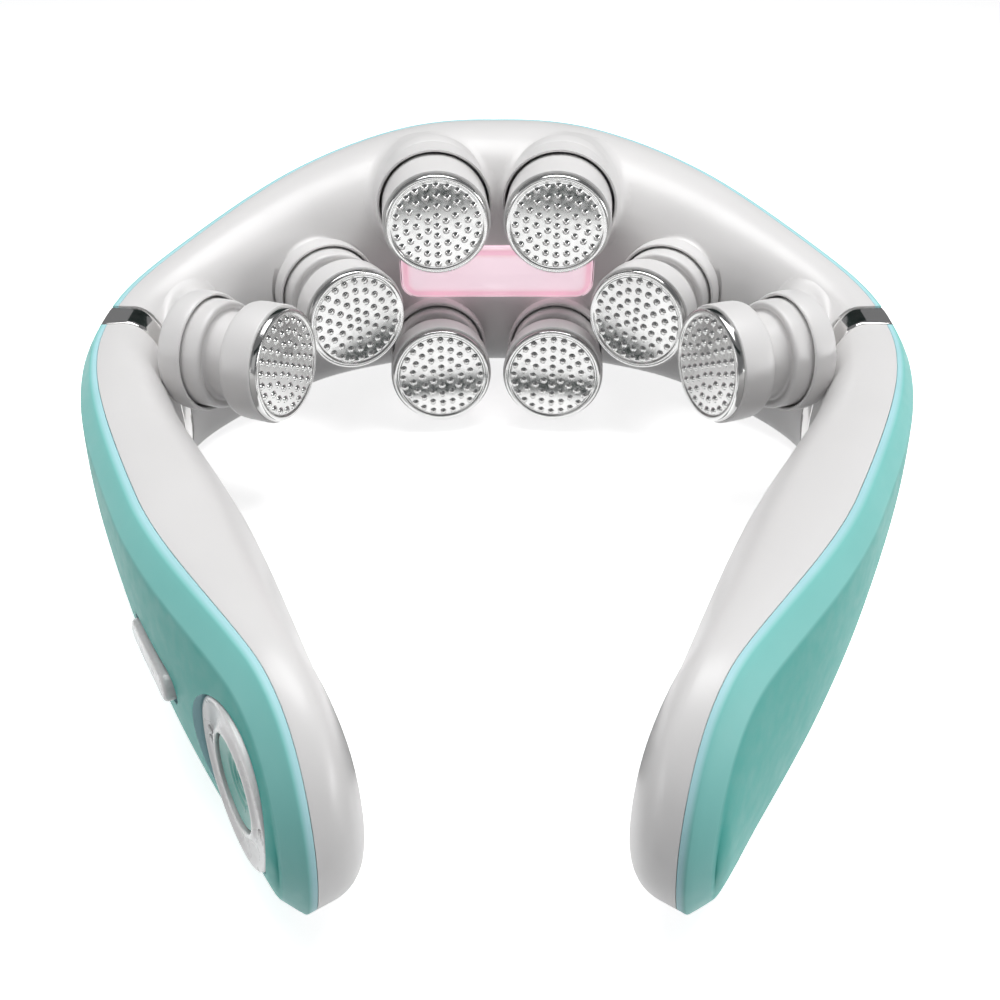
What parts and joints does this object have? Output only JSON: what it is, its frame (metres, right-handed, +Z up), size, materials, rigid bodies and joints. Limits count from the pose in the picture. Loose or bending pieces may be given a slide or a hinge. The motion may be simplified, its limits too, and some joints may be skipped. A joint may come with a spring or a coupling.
{
  "type": "neck massager",
  "caption": "Horseshoe neck massager with floating studded electrode heads, hinged spring arms, heat lens, rocker ring, buttons and chrome bands.",
  "frame": {"origin": "middle of the footprint, on the surface that the arms rest on", "axes": "+Z up, +Y towards the back of the neck, +X towards the arm without controls"},
  "size_m": [0.1626, 0.1796, 0.0637],
  "materials": {
    "shell": "satin white",
    "cover": "soft-touch teal",
    "chrome": "polished plating",
    "electrode": "polished studded steel",
    "lens": "translucent pink",
    "button": "satin white",
    "center": "satin teal",
    "steel": "plain",
    "board": "solder mask",
    "battery": "foil wrap"
  },
  "bodies": {
    "back": {"back_inner_shell": "shell", "back_outer_cover": "cover", "heat_lens": "lens", "heater_plate": "steel", "left_hinge_back_leaf": "steel", "right_hinge_back_leaf": "steel", "left_outer_head_base": "shell", "left_middle_head_base": "shell", "left_upper_head_base": "shell", "left_lower_head_base": "shell", "right_outer_head_base": "shell", "right_middle_head_base": "shell", "right_upper_head_base": "shell", "right_lower_head_base": "shell"},
    "left_arm": {"left_arm_inner_shell": "shell", "left_arm_outer_cover": "cover", "left_hinge_ring": "chrome", "left_hinge_arm_leaf": "steel", "control_board": "board", "charging_socket": "steel"},
    "right_arm": {"right_arm_inner_shell": "shell", "right_arm_outer_cover": "cover", "right_hinge_ring": "chrome", "right_hinge_arm_leaf": "steel", "battery": "battery"},
    "dial_ring": {"dial_ring": "button"},
    "center_button": {"center_button": "center"},
    "bar_button": {"bar_button": "button"},
    "left_outer_slider": {"left_outer_head_stem": "shell", "left_outer_head_spring": "steel"},
    "left_outer_pad": {"left_outer_head_cup": "shell", "left_outer_electrode": "electrode"},
    "left_middle_slider": {"left_middle_head_stem": "shell", "left_middle_head_spring": "steel"},
    "left_middle_pad": {"left_middle_head_cup": "shell", "left_middle_electrode": "electrode"},
    "left_upper_slider": {"left_upper_head_stem": "shell", "left_upper_head_spring": "steel"},
    "left_upper_pad": {"left_upper_head_cup": "shell", "left_upper_electrode": "electrode"},
    "left_lower_slider": {"left_lower_head_stem": "shell", "left_lower_head_spring": "steel"},
    "left_lower_pad": {"left_lower_head_cup": "shell", "left_lower_electrode": "electrode"},
    "right_outer_slider": {"right_outer_head_stem": "shell", "right_outer_head_spring": "steel"},
    "right_outer_pad": {"right_outer_head_cup": "shell", "right_outer_electrode": "electrode"},
    "right_middle_slider": {"right_middle_head_stem": "shell", "right_middle_head_spring": "steel"},
    "right_middle_pad": {"right_middle_head_cup": "shell", "right_middle_electrode": "electrode"},
    "right_upper_slider": {"right_upper_head_stem": "shell", "right_upper_head_spring": "steel"},
    "right_upper_pad": {"right_upper_head_cup": "shell", "right_upper_electrode": "electrode"},
    "right_lower_slider": {"right_lower_head_stem": "shell", "right_lower_head_spring": "steel"},
    "right_lower_pad": {"right_lower_head_cup": "shell", "right_lower_electrode": "electrode"}
  },
  "joints": [
    {"name": "left_arm_hinge", "type": "hinge", "parent": "back", "child": "left_arm", "pos_m": [-0.07654, 0.02606, 0.019], "axis": [0, 0, -1], "range_deg": [0, 8], "stiffness_Nm_per_rad": 1.5},
    {"name": "right_arm_hinge", "type": "hinge", "parent": "back", "child": "right_arm", "pos_m": [0.07654, 0.02606, 0.019], "axis": [0, 0, 1], "range_deg": [0, 8], "stiffness_Nm_per_rad": 1.5},
    {"name": "dial_rock", "type": "hinge", "parent": "left_arm", "child": "dial_ring", "pos_m": [-0.03256, -0.07611, 0.02044], "axis": [0, 0, 1], "range_deg": [-3, 3], "stiffness_Nm_per_rad": 0.05},
    {"name": "center_press", "type": "slide", "parent": "left_arm", "child": "center_button", "axis": [0.8355, 0.5395, -0.1045], "range_m": [0, 0.0008], "stiffness_N_per_m": 400},
    {"name": "bar_press", "type": "slide", "parent": "left_arm", "child": "bar_button", "axis": [0.8348, 0.5506, 0], "range_m": [0, 0.0008], "stiffness_N_per_m": 400},
    {"name": "left_outer_press", "type": "slide", "parent": "back", "child": "left_outer_slider", "axis": [-0.9397, 0.342, 0], "range_m": [0, 0.0022], "stiffness_N_per_m": 700},
    {"name": "left_outer_tilt", "type": "hinge", "parent": "left_outer_slider", "child": "left_outer_pad", "pos_m": [-0.04588, 0.01343, 0.033], "axis": [0, 0, 1], "range_deg": [-4, 4], "stiffness_Nm_per_rad": 0.15},
    {"name": "left_middle_press", "type": "slide", "parent": "back", "child": "left_middle_slider", "axis": [-0.5, 0.866, 0], "range_m": [0, 0.0022], "stiffness_N_per_m": 700},
    {"name": "left_middle_tilt", "type": "hinge", "parent": "left_middle_slider", "child": "left_middle_pad", "pos_m": [-0.03305, 0.04111, 0.031], "axis": [0, 0, 1], "range_deg": [-4, 4], "stiffness_Nm_per_rad": 0.15},
    {"name": "left_upper_press", "type": "slide", "parent": "back", "child": "left_upper_slider", "axis": [-0.1037, 0.9871, 0.1219], "range_m": [0, 0.0022], "stiffness_N_per_m": 700},
    {"name": "left_upper_tilt", "type": "hinge", "parent": "left_upper_slider", "child": "left_upper_pad", "pos_m": [-0.01345, 0.05005, 0.04975], "axis": [0.0127, -0.1212, 0.9925], "range_deg": [-4, 4], "stiffness_Nm_per_rad": 0.15},
    {"name": "left_lower_press", "type": "slide", "parent": "back", "child": "left_lower_slider", "axis": [-0.1043, 0.9921, -0.0698], "range_m": [0, 0.0022], "stiffness_N_per_m": 700},
    {"name": "left_lower_tilt", "type": "hinge", "parent": "left_lower_slider", "child": "left_lower_pad", "pos_m": [-0.01345, 0.04578, 0.01463], "axis": [-0.0073, 0.0694, 0.9976], "range_deg": [-4, 4], "stiffness_Nm_per_rad": 0.15},
    {"name": "right_outer_press", "type": "slide", "parent": "back", "child": "right_outer_slider", "axis": [0.9397, 0.342, 0], "range_m": [0, 0.0022], "stiffness_N_per_m": 700},
    {"name": "right_outer_tilt", "type": "hinge", "parent": "right_outer_slider", "child": "right_outer_pad", "pos_m": [0.04588, 0.01343, 0.033], "axis": [0, 0, 1], "range_deg": [-4, 4], "stiffness_Nm_per_rad": 0.15},
    {"name": "right_middle_press", "type": "slide", "parent": "back", "child": "right_middle_slider", "axis": [0.5, 0.866, 0], "range_m": [0, 0.0022], "stiffness_N_per_m": 700},
    {"name": "right_middle_tilt", "type": "hinge", "parent": "right_middle_slider", "child": "right_middle_pad", "pos_m": [0.03305, 0.04111, 0.031], "axis": [0, 0, 1], "range_deg": [-4, 4], "stiffness_Nm_per_rad": 0.15},
    {"name": "right_upper_press", "type": "slide", "parent": "back", "child": "right_upper_slider", "axis": [0.1037, 0.9871, 0.1219], "range_m": [0, 0.0022], "stiffness_N_per_m": 700},
    {"name": "right_upper_tilt", "type": "hinge", "parent": "right_upper_slider", "child": "right_upper_pad", "pos_m": [0.01345, 0.05005, 0.04975], "axis": [-0.0127, -0.1212, 0.9925], "range_deg": [-4, 4], "stiffness_Nm_per_rad": 0.15},
    {"name": "right_lower_press", "type": "slide", "parent": "back", "child": "right_lower_slider", "axis": [0.1043, 0.9921, -0.0698], "range_m": [0, 0.0022], "stiffness_N_per_m": 700},
    {"name": "right_lower_tilt", "type": "hinge", "parent": "right_lower_slider", "child": "right_lower_pad", "pos_m": [0.01345, 0.04578, 0.01463], "axis": [0.0073, 0.0694, 0.9976], "range_deg": [-4, 4], "stiffness_Nm_per_rad": 0.15}
  ]
}
